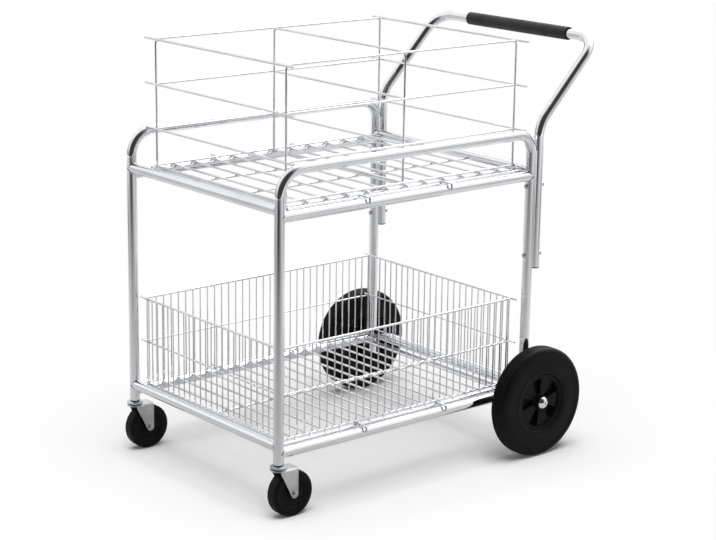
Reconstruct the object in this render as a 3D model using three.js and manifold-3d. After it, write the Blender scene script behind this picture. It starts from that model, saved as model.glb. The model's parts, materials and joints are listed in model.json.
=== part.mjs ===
// Mobile file cart: two bent-tube side frames, a wire file basket over a close-wired basket,
// a push handle, two fixed rear wheels and two swivel casters.
// Millimetres. +X to the rear (the handle), -Y to the pusher's left, +Z up, floor at Z = 0.

import * as THREE from 'three';
import { mergeGeometries, mergeVertices } from 'three/addons/utils/BufferGeometryUtils.js';
import Module from 'manifold-3d';

const wasm = await Module();
wasm.setup();

// Frame
const WHEELBASE = 704; // front leg centre to rear leg centre
const TRACK = 534; // left leg centre to right leg centre
const TUBE_OD = 22.2;
const TUBE_WALL = 1.5;
const SHELF_SPACING = 500; // lower side rails to upper side rails
const CROSS_RAIL_RISE = 14; // cross rails lie higher than the side rails
const TOP_RAIL_RISE = 95; // top of the side frames above the upper side rails
const FRONT_BEND = 58; // centre line radii of the side frame's two bends
const REAR_BEND = 43;
const AXLE_TO_RAIL = 13.5; // least height of the lower rails above the rear axle
const LEG_STUB = 22; // least height of the lower rails above the ends of the front legs
const AXLE_TO_PLUG = 6.6; // rear axle to the plug in the leg below it
const PLUG_FLANGE = 2.5; // plugs in open tube ends
const PLUG_DEPTH = 9;

// Handle
const HANDLE_TAIL = 211.5; // lower end of the handle below the upper side rails
const HANDLE_BEND_RISE = 112.5; // where the handle leans back, above the upper side rails
const HANDLE_REACH = 173.5; // backward run of the slanted arms
const HANDLE_LIFT = 179.5; // upward run of the slanted arms
const HANDLE_KNEE_BEND = 70;
const HANDLE_CORNER_BEND = 55;
const GRIP_LENGTH = 330;
const GRIP_SETBACK = 34; // left end of the grip from the left corner bend
const GRIP_WALL = 3.6;
const GRIP_EDGE = 2; // chamfer at the ends of the grip
const BOLT_DIAMETER = 6;
const BOLT_HEAD_DIAMETER = 12;
const BOLT_HEAD_HEIGHT = 4;
const NUT_WIDTH = 11;
const NUT_HEIGHT = 5;
const UPPER_BOLT_DROP = 12; // below the undersides of the upper side rails
const LOWER_BOLT_RISE = 30; // above the lower end of the handle
const HEAD_CHAMFER = 2; // edges of bolt and rivet heads

// File basket
const FILE_FRONT_INSET = 27; // end panels to the leg tubes
const FILE_REAR_INSET = 6;
const FILE_SIDE_INSET = 15; // side panels to the edge bars of the floor
const FILE_LOW_HEIGHT = 85; // lowest open wire above the basket floor
const FILE_LEVEL_STEP = 98.5; // from there to the middle wire, and on to the rim
const FILE_WIRE = 5;
const FILE_RIM_WIRE = 6;
const FILE_FLOOR_WIRES = 13;
const FILE_FLOOR_INNER_BAR = 77; // long floor bars either side of the middle

// Lower basket
const LOWER_FRONT_INSET = 9; // end panels to the leg tubes
const LOWER_REAR_INSET = 19;
const LOWER_LEVEL_STEP = 100; // floor to middle wire, and on to the rim
const LOWER_SIDE_WIRES = 33;
const LOWER_END_WIRES = 25;
const LOWER_WIRE = 3; // upright wires
const LOWER_RIM_WIRE = 5;
const LOWER_MID_WIRE = 4;
const LOWER_PANEL_DEPTH = 4;
const LOWER_FLOOR_WIRES = 17;

// Both basket floors
const EDGE_BAR_INSET = 10; // long edge bars to the leg tubes
const EDGE_BAR = 8;
const FLOOR_WIRE = 5;
const FLOOR_DEPTH = 6;
const HOOK_SETBACK = 225.5; // front hooks of a floor behind the front legs
const HOOK_SPACING = 229; // front hooks to rear hooks
const HOOK_DROP = 14; // hook ends down the outside of the side rails
const WIRE_END_CLEAR = 3; // end-panel wires stop this far inside the leg centres

// Rear wheels
const REAR_WHEEL_DIAMETER = 254;
const REAR_TYRE_WIDTH = 45;
const REAR_TYRE_ROUND = 12; // shoulder radius
const REAR_BEAD_WIDTH = 32;
const REAR_BEAD_RISE = 8; // slope from the bead to the flat of the sidewall
const REAR_RIM_DIAMETER = 124;
const REAR_RIM_WALL = 6;
const REAR_WEB = 6;
const REAR_SPOKES = 5;
const REAR_SPOKE_ANGLE = 42; // degrees of the hub that each spoke takes
const REAR_SPOKE_TURN = 22; // degrees of the first spoke from upright
const REAR_SPOKE_DEPTH = 22;
const REAR_BOSS_DIAMETER = 34;
const REAR_BOSS_SETBACK = 1; // boss ends inside the sides of the tyre
const REAR_BUSH_WALL = 2.5;
const AXLE_DIAMETER = 12.7;
const AXLE_SPACER_DIAMETER = 24;
const AXLE_SPACER_LENGTH = 11;
const AXLE_END = 6.5; // axle past the hub, inside the cap
const AXLE_CAP_DIAMETER = 28;
const AXLE_CAP_TOP = 2.5;
const AXLE_CAP_CHAMFER = 3;

// Casters
const CASTER_DIAMETER = 102;
const CASTER_WIDTH = 30;
const CASTER_TRAIL = 30; // caster axle behind the swivel stem
const CASTER_TYRE_ROUND = 7;
const CASTER_BEAD_WIDTH = 25;
const CASTER_BEAD_RISE = 4;
const CASTER_RIM_DIAMETER = 70;
const CASTER_WEB = 12;
const CASTER_RIM_WALL = 5;
const CASTER_BOSS_DIAMETER = 24;
const CASTER_AXLE_DIAMETER = 8;
const CASTER_RIVET_DIAMETER = 14;
const CASTER_RIVET_HEIGHT = 4;
const FORK_PLATE = 2.5;
const FORK_CROWN = 3;
const FORK_EAR_RADIUS = 9; // rounded ends of the fork legs
const FORK_LEG_FRONT = 5; // tops of the fork legs ahead of the stem
const FORK_SHOULDER = 2; // height of the fork legs' upright front edge
const CROWN_CLEARANCE = 4; // wheel to crown
const RACE_HEIGHT = 2.4;
const RACE_DIAMETER = 30;
const CUP_HEIGHT = 4.5;
const CUP_DIAMETER = 36;
const CUP_CHAMFER = 2.2;
const SOCKET_FLANGE = 2;
const SOCKET_LENGTH = 38;
const SOCKET_WALL = 2.7;
const STEM_TIP = 2; // stem stops this far below the top of its socket
const PIN_DIAMETER = 10; // below the cup, through race and crown
const RIVET_DIAMETER = 16;
const RIVET_HEIGHT = 3;

// Clearances
const GAP = 0.3; // between pieces that touch
const RUN = 0.2; // around turning pieces
const SIDE_PLAY = 0.6; // caster boss to fork leg

// Facets
const TUBE_SIDES = 12;
const BORE_SIDES = 8;
const BEND_STEPS = 4;
const WHEEL_SIDES = 28;
const CASTER_SIDES = 20;
const HUB_SIDES = 18;
const ROUND_SIDES = 14;
const GRIP_SIDES = 16;
const HEX = 6;
const EAR_STEPS = 6;
const SHOULDER_STEPS = 3;
const SPOKE_STEPS = 3;
const WELD = 0.0001; // corners this close are one

// Worked out from the sizes above
const tubeR = TUBE_OD / 2;
const boreR = tubeR - TUBE_WALL;
const legX = WHEELBASE / 2;
const legY = TRACK / 2;
const rearAxleZ = flatRadius(REAR_WHEEL_DIAMETER / 2, WHEEL_SIDES);
const casterAxleZ = flatRadius(CASTER_DIAMETER / 2, CASTER_SIDES);
const crownBottom = casterAxleZ + CASTER_DIAMETER / 2 + CROWN_CLEARANCE;
const crownTop = crownBottom + FORK_CROWN;
const raceBottom = crownTop + GAP;
const cupBottom = raceBottom + RACE_HEIGHT + GAP;
const cupTop = cupBottom + CUP_HEIGHT;
const frontLegEnd = cupTop + GAP + SOCKET_FLANGE + GAP;
const rearLegEnd = rearAxleZ - AXLE_DIAMETER / 2 - AXLE_TO_PLUG - PLUG_DEPTH;
const lowerZ = Math.max(rearAxleZ + AXLE_TO_RAIL, frontLegEnd + LEG_STUB);
const upperZ = lowerZ + SHELF_SPACING;
const topZ = upperZ + TOP_RAIL_RISE;
const handleX = legX + TUBE_OD + GAP;
const handleEndZ = upperZ - HANDLE_TAIL;
const crossbarX = handleX + HANDLE_REACH;
const crossbarZ = upperZ + HANDLE_BEND_RISE + HANDLE_LIFT;
const gripY = HANDLE_CORNER_BEND + GRIP_SETBACK + GRIP_LENGTH / 2 - legY;
const rearBossHalf = REAR_TYRE_WIDTH / 2 - REAR_BOSS_SETBACK;
const wheelY = legY + tubeR + GAP + AXLE_SPACER_LENGTH + GAP + rearBossHalf;
const capInner = wheelY + rearBossHalf + GAP;
const edgeBarY = legY - tubeR - EDGE_BAR_INSET;
const insertR = flatRadius(boreR, BORE_SIDES) - GAP; // what goes in the open end of a tube
const stemR = insertR - SOCKET_WALL - RUN;
const forkInner = CASTER_WIDTH / 2 + SIDE_PLAY;
const forkOuter = forkInner + FORK_PLATE; // also the radius of the crown's round front
const casterReach = casterAxleZ - CASTER_TRAIL; // wheel ahead of the stem
const frontReach = legX + Math.max(casterReach, forkOuter, CUP_DIAMETER / 2, tubeR);
const rearReach = crossbarX + tubeR + GAP + GRIP_WALL;

const CHROME = { color: 0xc9ccd0, metalness: 1, roughness: 0.12 };
const WIRE = { color: 0xd2d4d6, metalness: 1, roughness: 0.2 };
const ZINC = { color: 0xb4b6b8, metalness: 0.9, roughness: 0.35 };
const RUBBER = { color: 0x161617, metalness: 0, roughness: 0.75 };
const BLACK_PLASTIC = { color: 0x1a1a1b, metalness: 0, roughness: 0.5 };
const FOAM = { color: 0x1b1b1d, metalness: 0, roughness: 0.9 };
const GREY_PLASTIC = { color: 0x5b5d60, metalness: 0, roughness: 0.55 };
const BRONZE = { color: 0x8c6a3c, metalness: 0.9, roughness: 0.4 };

const cart = new THREE.Group();
cart.position.x = (frontReach - rearReach) / 2;

// Distance from the middle to a flat of a polygon whose corners lie at the radius
function flatRadius(radius, sides) {
  return radius * Math.cos(Math.PI / sides);
}

// Corner radius of a bore whose flats clear a round piece by the room given
function clearBore(radius, sides, room) {
  return (radius + room) / Math.cos(Math.PI / sides);
}

function polygon(radius, sides) {
  const points = [];
  for (let i = 0; i < sides; i += 1) {
    const angle = (2 * Math.PI * i) / sides;
    points.push(new THREE.Vector2(radius * Math.cos(angle), radius * Math.sin(angle)));
  }
  return points;
}

function ringShape(outer, outerSides, inner, innerSides) {
  const shape = new THREE.Shape(polygon(outer, outerSides));
  shape.holes.push(new THREE.Path(polygon(inner, innerSides)));
  return shape;
}

// A path given by its stations, each with its direction
class StationPath extends THREE.Curve {
  constructor(stations) {
    super();
    this.stations = stations;
  }

  getUtoTmapping(u) {
    return u;
  }

  station(t) {
    return this.stations[Math.round(t * (this.stations.length - 1))];
  }

  getPoint(t, target = new THREE.Vector3()) {
    return target.copy(this.station(t).point);
  }

  getTangent(t, target = new THREE.Vector3()) {
    return target.copy(this.station(t).direction);
  }
}

// Straight runs between corners, with a round bend at each inner corner
function bentPath(corners, radii) {
  const stations = [];
  const last = corners.length - 1;
  const first = corners[1].clone().sub(corners[0]).normalize();
  stations.push({ point: corners[0], direction: first });
  for (let i = 1; i < last; i += 1) {
    const arriving = corners[i].clone().sub(corners[i - 1]).normalize();
    const leaving = corners[i + 1].clone().sub(corners[i]).normalize();
    const turn = arriving.angleTo(leaving);
    const radius = radii[i - 1];
    const start = corners[i].clone().addScaledVector(arriving, -radius * Math.tan(turn / 2));
    const inward = leaving.clone().addScaledVector(arriving, -arriving.dot(leaving)).normalize();
    for (let k = 0; k <= BEND_STEPS; k += 1) {
      const angle = (turn * k) / BEND_STEPS;
      const point = start.clone().addScaledVector(arriving, radius * Math.sin(angle));
      point.addScaledVector(inward, radius * (1 - Math.cos(angle)));
      const direction = arriving.clone().multiplyScalar(Math.cos(angle));
      direction.addScaledVector(inward, Math.sin(angle));
      stations.push({ point, direction });
    }
  }
  const final = corners[last].clone().sub(corners[last - 1]).normalize();
  stations.push({ point: corners[last], direction: final });
  return new StationPath(stations);
}

function tubeGeometry(path) {
  const section = ringShape(tubeR, TUBE_SIDES, boreR, BORE_SIDES);
  const steps = path.stations.length - 1;
  return new THREE.ExtrudeGeometry(section, { steps, extrudePath: path, bevelEnabled: false });
}

// Solid for joining and cutting
function solid(geometry) {
  const bare = geometry.clone();
  bare.deleteAttribute('normal');
  bare.deleteAttribute('uv');
  const merged = mergeVertices(bare, WELD);
  const vertProperties = new Float32Array(merged.attributes.position.array);
  const triVerts = new Uint32Array(merged.index.array);
  return new wasm.Manifold(new wasm.Mesh({ numProp: 3, vertProperties, triVerts }));
}

function geometryOf(body) {
  const mesh = body.getMesh();
  const geometry = new THREE.BufferGeometry();
  geometry.setAttribute('position', new THREE.BufferAttribute(mesh.vertProperties, 3));
  geometry.setIndex(new THREE.BufferAttribute(mesh.triVerts, 1));
  geometry.computeVertexNormals();
  return geometry;
}

const QUARTER = Math.PI / 2;

// Round rods along one axis, centred on a point
function rodX(radius, length, sides, x, y, z) {
  return new THREE.CylinderGeometry(radius, radius, length, sides).rotateZ(-QUARTER).translate(x, y, z);
}

function rodY(radius, length, sides, x, y, z) {
  return new THREE.CylinderGeometry(radius, radius, length, sides).translate(x, y, z);
}

function rodZ(radius, length, sides, x, y, z) {
  return new THREE.CylinderGeometry(radius, radius, length, sides).rotateX(QUARTER).translate(x, y, z);
}

function box(low, high) {
  const size = new THREE.Vector3().subVectors(high, low);
  const middle = new THREE.Vector3().addVectors(low, high).multiplyScalar(0.5);
  return new THREE.BoxGeometry(size.x, size.y, size.z).translate(middle.x, middle.y, middle.z);
}

// Turned piece: [radius, height] points around a closed profile, axis along Y
function turned(profile, sides) {
  const points = profile.map(([radius, height]) => new THREE.Vector2(radius, height));
  points.push(points[0].clone());
  return new THREE.LatheGeometry(points, sides);
}

// Turned solid piece: the profile starts and ends on the axis
function turnedSolid(profile, sides) {
  const points = profile.map(([radius, height]) => new THREE.Vector2(radius, height));
  return new THREE.LatheGeometry(points, sides);
}

function sleeve(inner, outer, low, high, sides) {
  const profile = [[inner, low], [outer, low], [outer, high], [inner, high]];
  return turned(profile, sides);
}

// Whole profile from the half on one side of its middle
function bothSides(half) {
  const mirrored = half.map(([radius, height]) => [radius, -height]);
  return [...mirrored, ...half.toReversed()];
}

function add(name, geometry, finish) {
  const mesh = new THREE.Mesh(geometry, new THREE.MeshStandardMaterial(finish));
  mesh.name = name;
  cart.add(mesh);
  return mesh;
}

// Side frames and rails
const SIDES = [['left', -1], ['right', 1]];
const boltZ = { upper: upperZ - tubeR - UPPER_BOLT_DROP, lower: handleEndZ + LOWER_BOLT_RISE };
const boltHoleR = clearBore(BOLT_DIAMETER / 2, BORE_SIDES, GAP);
const axleHoleR = clearBore(AXLE_DIAMETER / 2, BORE_SIDES, GAP);

function drillForBolts(body, x, y) {
  let drilled = body;
  for (const z of Object.values(boltZ)) {
    drilled = drilled.subtract(solid(rodX(boltHoleR, 2 * TUBE_OD, BORE_SIDES, x, y, z)));
  }
  return drilled;
}

function sideFrame(side) {
  const y = side * legY;
  const corners = [
    new THREE.Vector3(-legX, y, frontLegEnd),
    new THREE.Vector3(-legX, y, topZ),
    new THREE.Vector3(legX, y, topZ),
    new THREE.Vector3(legX, y, rearLegEnd),
  ];
  const bent = solid(tubeGeometry(bentPath(corners, [FRONT_BEND, REAR_BEND])));
  const drilled = drillForBolts(bent, legX, y);
  return drilled.subtract(solid(rodY(axleHoleR, 2 * TUBE_OD, BORE_SIDES, legX, y, rearAxleZ)));
}

// Straight tube that butts against the two legs it runs between
function rail(from, to) {
  const direction = to.clone().sub(from).normalize();
  const butt = tubeR + GAP;
  const start = from.clone().addScaledVector(direction, butt);
  const end = to.clone().addScaledVector(direction, -butt);
  return tubeGeometry(new StationPath([start, end].map((point) => ({ point, direction }))));
}

for (const [name, side] of SIDES) {
  add(`${name}_side_frame`, geometryOf(sideFrame(side)), CHROME);
}
for (const [level, z] of [['upper', upperZ], ['lower', lowerZ]]) {
  for (const [name, side] of SIDES) {
    const front = new THREE.Vector3(-legX, side * legY, z);
    const rear = new THREE.Vector3(legX, side * legY, z);
    add(`${level}_${name}_rail`, rail(front, rear), CHROME);
  }
  for (const [name, x] of [['front', -legX], ['rear', legX]]) {
    const left = new THREE.Vector3(x, -legY, z + CROSS_RAIL_RISE);
    const right = new THREE.Vector3(x, legY, z + CROSS_RAIL_RISE);
    add(`${level}_${name}_rail`, rail(left, right), CHROME);
  }
}

// Plugs that close the lower ends of the rear legs and of the handle
function plug() {
  const bottom = -PLUG_FLANGE - GAP;
  const profile = [
    [0, bottom], [tubeR, bottom], [tubeR, -GAP],
    [insertR, -GAP], [insertR, PLUG_DEPTH], [0, PLUG_DEPTH],
  ];
  return turnedSolid(profile, TUBE_SIDES).rotateX(QUARTER);
}

for (const [name, side] of SIDES) {
  const legPlug = add(`${name}_leg_plug`, plug(), GREY_PLASTIC);
  legPlug.position.set(legX, side * legY, rearLegEnd);
  const handlePlug = add(`${name}_handle_plug`, plug(), GREY_PLASTIC);
  handlePlug.position.set(handleX, side * legY, handleEndZ);
}

// Handle
function handleTube() {
  const kneeZ = upperZ + HANDLE_BEND_RISE;
  const corners = [
    new THREE.Vector3(handleX, -legY, handleEndZ),
    new THREE.Vector3(handleX, -legY, kneeZ),
    new THREE.Vector3(crossbarX, -legY, crossbarZ),
    new THREE.Vector3(crossbarX, legY, crossbarZ),
    new THREE.Vector3(handleX, legY, kneeZ),
    new THREE.Vector3(handleX, legY, handleEndZ),
  ];
  const radii = [HANDLE_KNEE_BEND, HANDLE_CORNER_BEND, HANDLE_CORNER_BEND, HANDLE_KNEE_BEND];
  let body = solid(tubeGeometry(bentPath(corners, radii)));
  for (const [, side] of SIDES) {
    body = drillForBolts(body, handleX, side * legY);
  }
  return body;
}

function grip() {
  const inner = clearBore(tubeR, GRIP_SIDES, GAP);
  const outer = tubeR + GAP + GRIP_WALL;
  const half = GRIP_LENGTH / 2;
  const profile = [
    [inner, -half], [outer - GRIP_EDGE, -half], [outer, GRIP_EDGE - half],
    [outer, half - GRIP_EDGE], [outer - GRIP_EDGE, half], [inner, half],
  ];
  return turned(profile, GRIP_SIDES);
}

add('handle_tube', geometryOf(handleTube()), CHROME);
add('handle_grip', grip(), FOAM).position.set(crossbarX, gripY, crossbarZ);

// Bolts through the rear legs and the handle, heads in front and nuts behind
const boltSpan = handleX - legX + TUBE_OD + 2 * GAP;

function handleBolt() {
  const shank = BOLT_DIAMETER / 2;
  const head = BOLT_HEAD_DIAMETER / 2;
  const top = -BOLT_HEAD_HEIGHT;
  const tip = boltSpan + NUT_HEIGHT;
  const profile = [
    [0, top], [head - HEAD_CHAMFER, top], [head, top + HEAD_CHAMFER], [head, 0],
    [shank, 0], [shank, tip], [0, tip],
  ];
  return turnedSolid(profile, BORE_SIDES).rotateZ(-QUARTER);
}

function handleNut() {
  const corner = clearBore(NUT_WIDTH / 2, HEX, 0);
  const shape = ringShape(corner, HEX, clearBore(BOLT_DIAMETER / 2, HEX, RUN), HEX);
  return new THREE.ExtrudeGeometry(shape, { depth: NUT_HEIGHT, bevelEnabled: false });
}

for (const [name, side] of SIDES) {
  for (const [level, z] of Object.entries(boltZ)) {
    const bolt = add(`${name}_${level}_handle_bolt`, handleBolt(), ZINC);
    bolt.position.set(legX - tubeR - GAP, side * legY, z);
    const nut = add(`${name}_${level}_handle_nut`, handleNut(), ZINC);
    nut.rotation.y = QUARTER;
    nut.position.set(bolt.position.x + boltSpan, side * legY, z);
  }
}

// Flat wire panels: a plate whose windows lie between the wires.
// Rows run along u and columns along v. A row with an overhang runs out past both edges.
function evenly(low, high, count) {
  const places = [];
  for (let i = 0; i < count; i += 1) {
    places.push(low + ((high - low) * i) / (count - 1));
  }
  return places;
}

function wirePanel(rows, columns, depth) {
  const left = columns[0].at - columns[0].wire / 2;
  const right = columns.at(-1).at + columns.at(-1).wire / 2;
  const bottom = rows[0].at - rows[0].wire / 2;
  const top = rows.at(-1).at + rows.at(-1).wire / 2;
  const front = depth / 2;
  let body = solid(box(new THREE.Vector3(left, bottom, -front), new THREE.Vector3(right, top, front)));
  for (const row of rows.filter((one) => one.overhang)) {
    const low = new THREE.Vector3(left - row.overhang, row.at - row.wire / 2, -front);
    const high = new THREE.Vector3(right + row.overhang, row.at + row.wire / 2, front);
    body = body.add(solid(box(low, high)));
  }
  const windows = [];
  for (let r = 1; r < rows.length; r += 1) {
    const low = rows[r - 1].at + rows[r - 1].wire / 2;
    const high = rows[r].at - rows[r].wire / 2;
    for (let c = 1; c < columns.length; c += 1) {
      const start = columns[c - 1].at + columns[c - 1].wire / 2;
      const end = columns[c].at - columns[c].wire / 2;
      windows.push(box(new THREE.Vector3(start, low, -depth), new THREE.Vector3(end, high, depth)));
    }
  }
  return geometryOf(body.subtract(solid(mergeGeometries(windows))));
}

const AXIS_X = new THREE.Vector3(1, 0, 0);
const AXIS_Y = new THREE.Vector3(0, 1, 0);
const AXIS_Z = new THREE.Vector3(0, 0, 1);

function stand(mesh, u, v, place) {
  const normal = new THREE.Vector3().crossVectors(u, v);
  mesh.setRotationFromMatrix(new THREE.Matrix4().makeBasis(u, v, normal));
  mesh.position.copy(place);
}

// Hook of a basket floor, in the floor's plane: from an edge bar over the side rail and down its outside
function floorHook(side, at) {
  const out = legY + tubeR + GAP + FLOOR_WIRE;
  const half = FLOOR_WIRE / 2;
  const top = -FLOOR_DEPTH / 2;
  const turn = side > 0 ? 0 : Math.PI;
  const arm = box(new THREE.Vector3(edgeBarY, -half, top), new THREE.Vector3(out, half, -top));
  const tip = new THREE.Vector3(out, half, top + HOOK_DROP);
  const drop = box(new THREE.Vector3(out - FLOOR_WIRE, -half, top), tip);
  const [armBody, dropBody] = [arm, drop].map((one) => solid(one.rotateZ(turn).translate(0, at, 0)));
  return armBody.add(dropBody);
}

// Basket floor: cross wires (rows, along Y), long bars (columns, along X) and hooks on the side rails
function basketFloor(name, frontX, rearX, wireCount, innerBars, railZ) {
  const places = evenly(frontX + FLOOR_WIRE / 2, rearX - FLOOR_WIRE / 2, wireCount);
  const rows = places.map((at) => ({ at, wire: FLOOR_WIRE, overhang: 0 }));
  const inner = innerBars.map((at) => ({ at, wire: FLOOR_WIRE }));
  const columns = [{ at: -edgeBarY, wire: EDGE_BAR }, ...inner, { at: edgeBarY, wire: EDGE_BAR }];
  let body = solid(wirePanel(rows, columns, FLOOR_DEPTH));
  const frontHook = HOOK_SETBACK - legX;
  for (const [, side] of SIDES) {
    body = body.add(floorHook(side, frontHook));
    body = body.add(floorHook(side, frontHook + HOOK_SPACING));
  }
  const mesh = add(name, geometryOf(body), WIRE);
  const z = railZ + tubeR + GAP + FLOOR_DEPTH / 2;
  stand(mesh, AXIS_Y, AXIS_X, new THREE.Vector3(0, 0, z));
  return z + FLOOR_DEPTH / 2;
}

// File basket
const fileFront = tubeR + FILE_FRONT_INSET - legX;
const fileRear = legX - tubeR - FILE_REAR_INSET;
const fileSide = edgeBarY - FILE_SIDE_INSET;
const fileBars = [-fileSide, -FILE_FLOOR_INNER_BAR, FILE_FLOOR_INNER_BAR, fileSide];
const fileFloorZ = basketFloor(
  'file_basket_floor', fileFront - FILE_WIRE / 2, fileRear + FILE_WIRE / 2,
  FILE_FLOOR_WIRES, fileBars, upperZ,
);

function filePanel(half, wireEnds) {
  const low = fileFloorZ + FILE_LOW_HEIGHT;
  const rows = [
    { at: fileFloorZ + GAP + FILE_WIRE / 2, wire: FILE_WIRE, overhang: 0 },
    { at: low, wire: FILE_WIRE, overhang: 0 },
    { at: low + FILE_LEVEL_STEP, wire: FILE_WIRE, overhang: wireEnds },
    { at: low + 2 * FILE_LEVEL_STEP, wire: FILE_RIM_WIRE, overhang: wireEnds },
  ];
  const upright = half - FILE_WIRE / 2;
  const columns = [-upright, upright].map((at) => ({ at, wire: FILE_WIRE }));
  return wirePanel(rows, columns, FILE_WIRE);
}

const fileEndHalf = fileSide + FILE_WIRE / 2;
const fileWireEnds = legY - WIRE_END_CLEAR - fileEndHalf;
for (const [name, x] of [['front', fileFront], ['rear', fileRear]]) {
  const panel = add(`file_basket_${name}`, filePanel(fileEndHalf, fileWireEnds), WIRE);
  stand(panel, AXIS_Y, AXIS_Z, new THREE.Vector3(x, 0, 0));
}
const fileMiddle = (fileFront + fileRear) / 2;
const fileSideHalf = (fileRear - fileFront - FILE_WIRE) / 2 - GAP;
for (const [name, side] of SIDES) {
  const panel = add(`file_basket_${name}`, filePanel(fileSideHalf, 0), WIRE);
  stand(panel, AXIS_X, AXIS_Z, new THREE.Vector3(fileMiddle, side * fileSide, 0));
}
const divider = add('file_basket_divider', filePanel(fileSide - FILE_WIRE / 2 - GAP, 0), WIRE);
stand(divider, AXIS_Y, AXIS_Z, new THREE.Vector3(fileMiddle, 0, 0));

// Lower basket
const lowerFront = tubeR + LOWER_FRONT_INSET - legX;
const lowerRear = legX - tubeR - LOWER_REAR_INSET;
const lowerFloorZ = basketFloor(
  'lower_basket_floor', lowerFront - LOWER_PANEL_DEPTH / 2, lowerRear + LOWER_PANEL_DEPTH / 2,
  LOWER_FLOOR_WIRES, [0], lowerZ,
);

function lowerPanel(half, wireCount, wireEnds) {
  const rows = [
    { at: lowerFloorZ + GAP + LOWER_MID_WIRE / 2, wire: LOWER_MID_WIRE, overhang: 0 },
    { at: lowerFloorZ + LOWER_LEVEL_STEP, wire: LOWER_MID_WIRE, overhang: wireEnds },
    { at: lowerFloorZ + 2 * LOWER_LEVEL_STEP, wire: LOWER_RIM_WIRE, overhang: wireEnds },
  ];
  const places = evenly(LOWER_WIRE / 2 - half, half - LOWER_WIRE / 2, wireCount);
  const columns = places.map((at) => ({ at, wire: LOWER_WIRE }));
  return wirePanel(rows, columns, LOWER_PANEL_DEPTH);
}

const lowerEndHalf = edgeBarY + LOWER_PANEL_DEPTH / 2;
const lowerWireEnds = legY - WIRE_END_CLEAR - lowerEndHalf;
for (const [name, x] of [['front', lowerFront], ['rear', lowerRear]]) {
  const panel = add(`lower_basket_${name}`, lowerPanel(lowerEndHalf, LOWER_END_WIRES, lowerWireEnds), WIRE);
  stand(panel, AXIS_Y, AXIS_Z, new THREE.Vector3(x, 0, 0));
}
const lowerMiddle = (lowerFront + lowerRear) / 2;
const lowerSideHalf = (lowerRear - lowerFront - LOWER_PANEL_DEPTH) / 2 - GAP;
for (const [name, side] of SIDES) {
  const panel = add(`lower_basket_${name}`, lowerPanel(lowerSideHalf, LOWER_SIDE_WIRES, 0), WIRE);
  stand(panel, AXIS_X, AXIS_Z, new THREE.Vector3(lowerMiddle, side * edgeBarY, 0));
}

// Rear axle and wheels
const axleTip = capInner + AXLE_END;
add('rear_axle', rodY(AXLE_DIAMETER / 2, 2 * axleTip, ROUND_SIDES, legX, 0, rearAxleZ), ZINC);

// Tyre: bead, sidewall and a round shoulder, standing on one of its flats
function tyre(size, sides) {
  const half = [[size.inner, size.bead / 2], [size.inner + size.rise, size.width / 2]];
  for (let i = 0; i <= SHOULDER_STEPS; i += 1) {
    const angle = (QUARTER * i) / SHOULDER_STEPS;
    const radius = size.outer - size.round * (1 - Math.sin(angle));
    half.push([radius, size.width / 2 - size.round * (1 - Math.cos(angle))]);
  }
  return turned(bothSides(half), sides).rotateY(Math.PI / sides);
}

// Wedge-shaped spoke that stands upright
function rearSpoke(inner, outer) {
  const half = THREE.MathUtils.degToRad(REAR_SPOKE_ANGLE) / 2;
  const shape = new THREE.Shape();
  shape.absarc(0, 0, outer, QUARTER - half, QUARTER + half, false);
  shape.absarc(0, 0, inner, QUARTER + half, QUARTER - half, true);
  const options = { depth: REAR_SPOKE_DEPTH, bevelEnabled: false, curveSegments: SPOKE_STEPS };
  return new THREE.ExtrudeGeometry(shape, options).translate(0, 0, -REAR_SPOKE_DEPTH / 2).rotateX(QUARTER);
}

function rearHub() {
  const bore = clearBore(bushOuter, ROUND_SIDES, GAP);
  const boss = REAR_BOSS_DIAMETER / 2;
  const rim = REAR_RIM_DIAMETER / 2;
  const well = rim - REAR_RIM_WALL;
  const half = [
    [bore, rearBossHalf], [boss, rearBossHalf], [boss, REAR_WEB / 2],
    [well, REAR_WEB / 2], [well, REAR_BEAD_WIDTH / 2], [rim, REAR_BEAD_WIDTH / 2],
  ];
  let body = solid(turned(bothSides(half), HUB_SIDES));
  const spoke = rearSpoke((bore + boss) / 2, (well + rim) / 2);
  const firstTurn = THREE.MathUtils.degToRad(REAR_SPOKE_TURN);
  for (let i = 0; i < REAR_SPOKES; i += 1) {
    body = body.add(solid(spoke.clone().rotateY(firstTurn + (2 * Math.PI * i) / REAR_SPOKES)));
  }
  return body;
}

function axleCap() {
  const outer = AXLE_CAP_DIAMETER / 2;
  const bore = clearBore(AXLE_DIAMETER / 2, ROUND_SIDES, GAP);
  const seat = AXLE_END + GAP;
  const top = seat + AXLE_CAP_TOP;
  const profile = [
    [0, seat], [bore, seat], [bore, 0], [outer, 0],
    [outer, top - AXLE_CAP_CHAMFER], [outer - AXLE_CAP_CHAMFER, top], [0, top],
  ];
  return turnedSolid(profile, ROUND_SIDES);
}

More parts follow.
